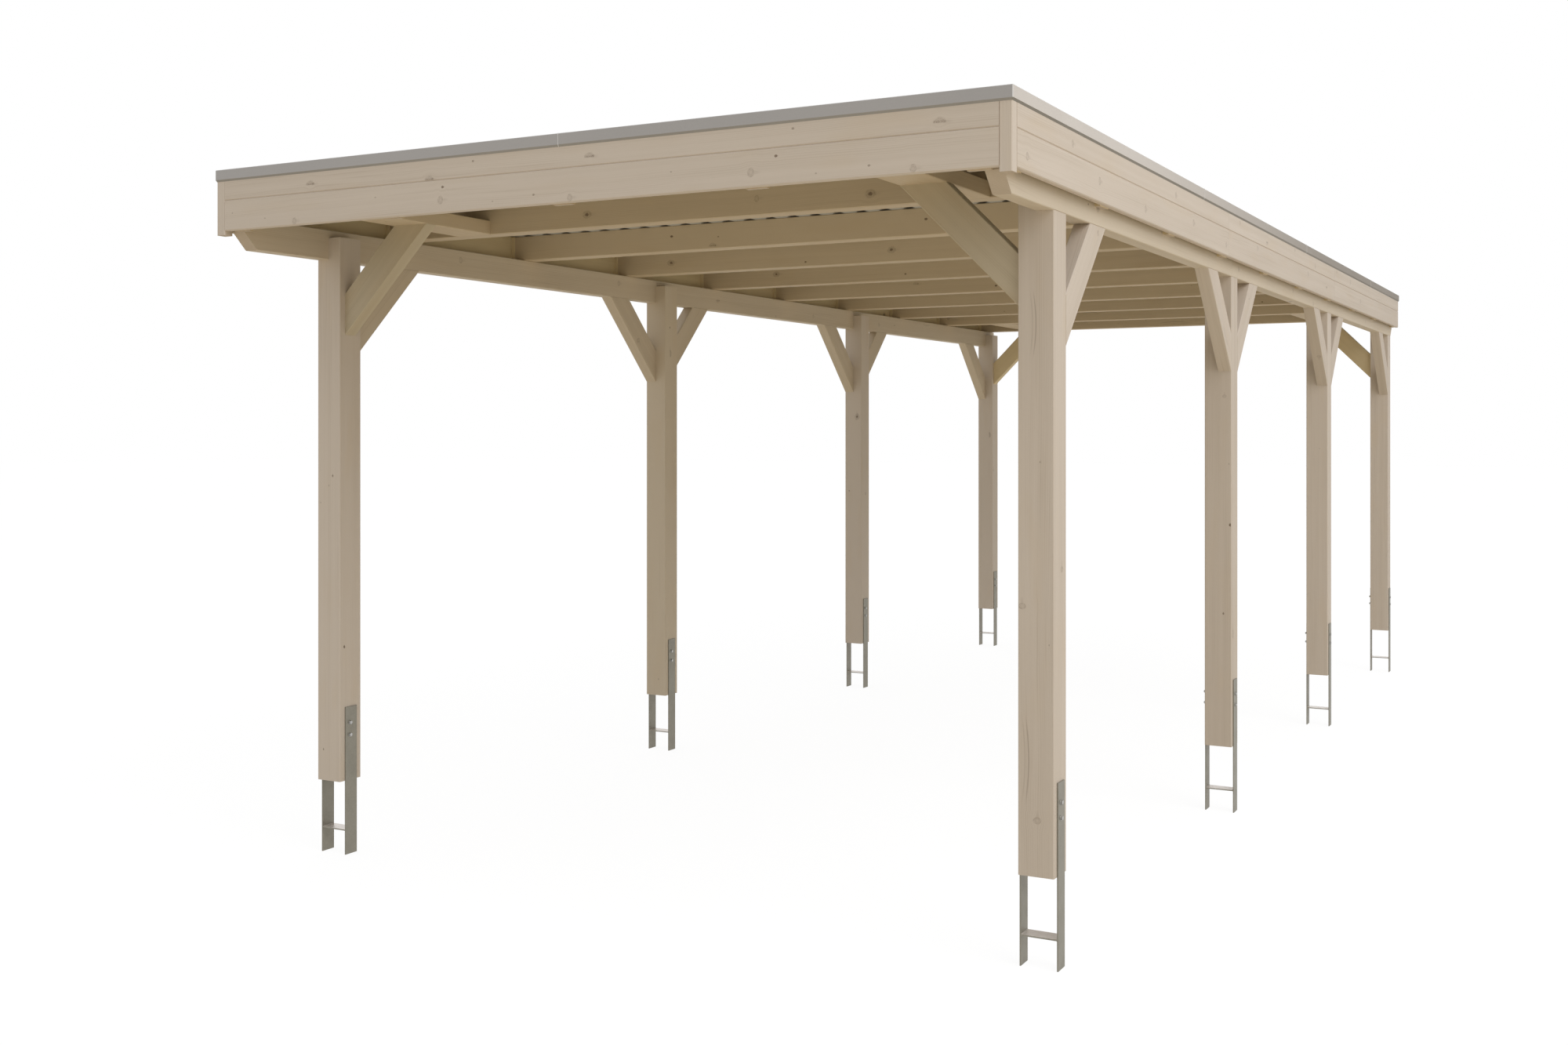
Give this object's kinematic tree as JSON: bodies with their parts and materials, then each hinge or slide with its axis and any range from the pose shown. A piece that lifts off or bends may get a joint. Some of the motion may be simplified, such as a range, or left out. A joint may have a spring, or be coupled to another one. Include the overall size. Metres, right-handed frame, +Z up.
{
  "type": "timber carport",
  "caption": "Open timber carport: square posts on steel H anchors carry side beams with diagonal braces, cross rafters, a boarded fascia with metal edge trim and a flat ribbed sheet roof.",
  "frame": {"origin": "under the middle of the roof, level with the tips of the anchors", "axes": "+Y along the carport from the drive-in front to the rear, +X to the right seen from the front, +Z up"},
  "size_m": [3.223, 8.056, 2.719],
  "materials": {
    "timber": "planed and whitewashed",
    "roof_timber": "planed and whitewashed",
    "anchor_steel": "hot-dip galvanised",
    "edge_trim": "satin",
    "roof_sheet": "satin"
  },
  "bodies": {
    "root": {"post_left_1": "timber", "post_left_2": "timber", "post_left_3": "timber", "post_left_4": "timber", "post_right_1": "timber", "post_right_2": "timber", "post_right_3": "timber", "post_right_4": "timber", "anchors_left": "anchor_steel", "anchors_right": "anchor_steel", "beam_left": "timber", "beam_right": "timber", "side_braces_left": "timber", "side_braces_right": "timber", "cross_braces_front": "timber", "cross_braces_rear": "timber", "blocks_front": "roof_timber", "blocks_rear": "roof_timber", "rafter_1": "roof_timber", "rafter_2": "roof_timber", "rafter_3": "roof_timber", "rafter_4": "roof_timber", "rafter_5": "roof_timber", "rafter_6": "roof_timber", "rafter_7": "roof_timber", "rafter_8": "roof_timber", "rafter_9": "roof_timber", "rafter_10": "roof_timber", "battens_left": "roof_timber", "battens_right": "roof_timber", "battens_front": "roof_timber", "fascia_left_lower": "timber", "fascia_left_upper": "timber", "fascia_right_lower": "timber", "fascia_right_upper": "timber", "fascia_front_lower": "timber", "fascia_front_upper": "timber", "corner_timber_left": "timber", "corner_timber_right": "timber", "trim_left": "edge_trim", "trim_right": "edge_trim", "trim_front": "edge_trim", "roof_sheet_1": "roof_sheet", "roof_sheet_2": "roof_sheet", "roof_sheet_3": "roof_sheet"}
  },
  "joints": []
}
